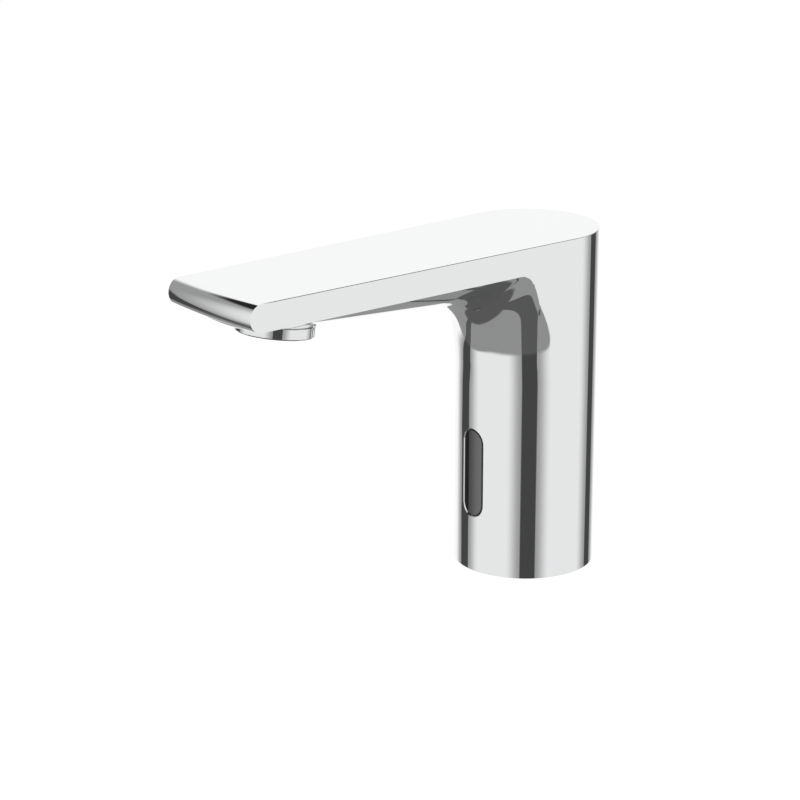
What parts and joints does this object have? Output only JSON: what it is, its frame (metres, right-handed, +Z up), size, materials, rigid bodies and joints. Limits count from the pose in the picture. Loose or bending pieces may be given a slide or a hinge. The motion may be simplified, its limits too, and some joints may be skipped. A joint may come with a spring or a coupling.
{
  "type": "sensor tap",
  "caption": "Deck-mounted touch-free tap with an upright column, a flat level spout, a tilted aerator and a tall sensor window low on its front.",
  "frame": {"origin": "centre of the column's foot on the deck, at the mouth of the inlet thread", "axes": "+Z up the column; the spout points along -Y; X is across the spout"},
  "size_m": [0.05, 0.1635, 0.1222],
  "materials": {
    "chrome": "polished",
    "collar_chrome": "polished",
    "brass": "machined",
    "dark_lens": "gloss infrared window",
    "black_rubber": "matt",
    "red_rubber": "matt silicone",
    "white_plastic": "moulded acetal",
    "black_plastic": "moulded, glass filled",
    "grey_plastic": "moulded",
    "stainless": "turned",
    "screw_steel": "bright zinc plated",
    "dark_screw": "blackened",
    "magnet": "nickel plated",
    "copper": "enamelled copper wire",
    "circuit": "solder mask",
    "chip_black": "moulded",
    "clear_diode": "clear epoxy",
    "dark_diode": "infrared filter epoxy",
    "battery_sleeve": "shrink sleeve",
    "mesh": "woven",
    "tube": "flexible tube",
    "contact_metal": "nickel plated spring strip"
  },
  "bodies": {
    "tap": {"base_plate": "brass", "battery_contacts": "contact_metal", "battery_holder": "grey_plastic", "battery_lid": "grey_plastic", "battery_pack": "battery_sleeve", "body_shell": "chrome", "check_cage": "white_plastic", "check_spring": "stainless", "coil_bobbin": "white_plastic", "coil_leads": "red_rubber", "coil_winding": "copper", "coil_yoke": "screw_steel", "control_board": "circuit", "control_chips": "chip_black", "control_screws": "screw_steel", "deck_seal": "black_rubber", "diaphragm": "black_rubber", "fixed_core": "stainless", "grub_screw": "dark_screw", "infrared_emitter": "clear_diode", "infrared_receiver": "dark_diode", "inlet_filter": "mesh", "latch_magnet": "magnet", "leg_screws": "screw_steel", "outlet_tube": "tube", "plunger_spring": "stainless", "sensor_board": "circuit", "sensor_case": "black_plastic", "sensor_cover": "black_plastic", "sensor_lead": "black_rubber", "sensor_lens": "dark_lens", "sensor_screws": "screw_steel", "spigot_ring": "black_rubber", "spout_nipple": "brass", "valve_body": "black_plastic", "valve_bonnet": "grey_plastic", "valve_screws": "screw_steel", "window_gasket": "black_rubber"},
    "washer": {"aerator_washer": "black_rubber"},
    "aerator": {"aerator_collar": "collar_chrome", "aerator_insert": "white_plastic", "aerator_screen": "mesh"},
    "check_valve": {"check_poppet": "grey_plastic"},
    "plunger": {"plunger": "stainless", "plunger_tip": "red_rubber"},
    "diaphragm_plate": {"diaphragm_plate": "white_plastic"}
  },
  "joints": [
    {"name": "washer_slide", "type": "slide", "parent": "tap", "child": "washer", "axis": [0, -0.1392, -0.9903], "range_m": [0, 0.004]},
    {"name": "aerator_turn", "type": "hinge", "parent": "washer", "child": "aerator", "pos_m": [0, -0.1114, 0.1042], "axis": [0, -0.1392, -0.9903], "range_deg": [0, 1440]},
    {"name": "check_lift", "type": "slide", "parent": "tap", "child": "check_valve", "axis": [0, 0, 1], "range_m": [0, 0.0018], "stiffness_N_per_m": 150, "springref_m": -0.001, "deforming": ["check_spring"]},
    {"name": "plunger_lift", "type": "slide", "parent": "tap", "child": "plunger", "axis": [0, 0, 1], "range_m": [0, 0.0015], "stiffness_N_per_m": 300, "springref_m": -0.001, "deforming": ["plunger_spring"]},
    {"name": "diaphragm_lift", "type": "slide", "parent": "tap", "child": "diaphragm_plate", "axis": [0, 0, 1], "range_m": [0, 0.0012], "deforming": ["diaphragm"]}
  ],
  "couplings": [
    {"joint": "aerator_turn", "follows": "washer_slide", "rad_per_m": 6283.2},
    {"joint": "diaphragm_lift", "follows": "plunger_lift", "ratio": 0.8}
  ]
}
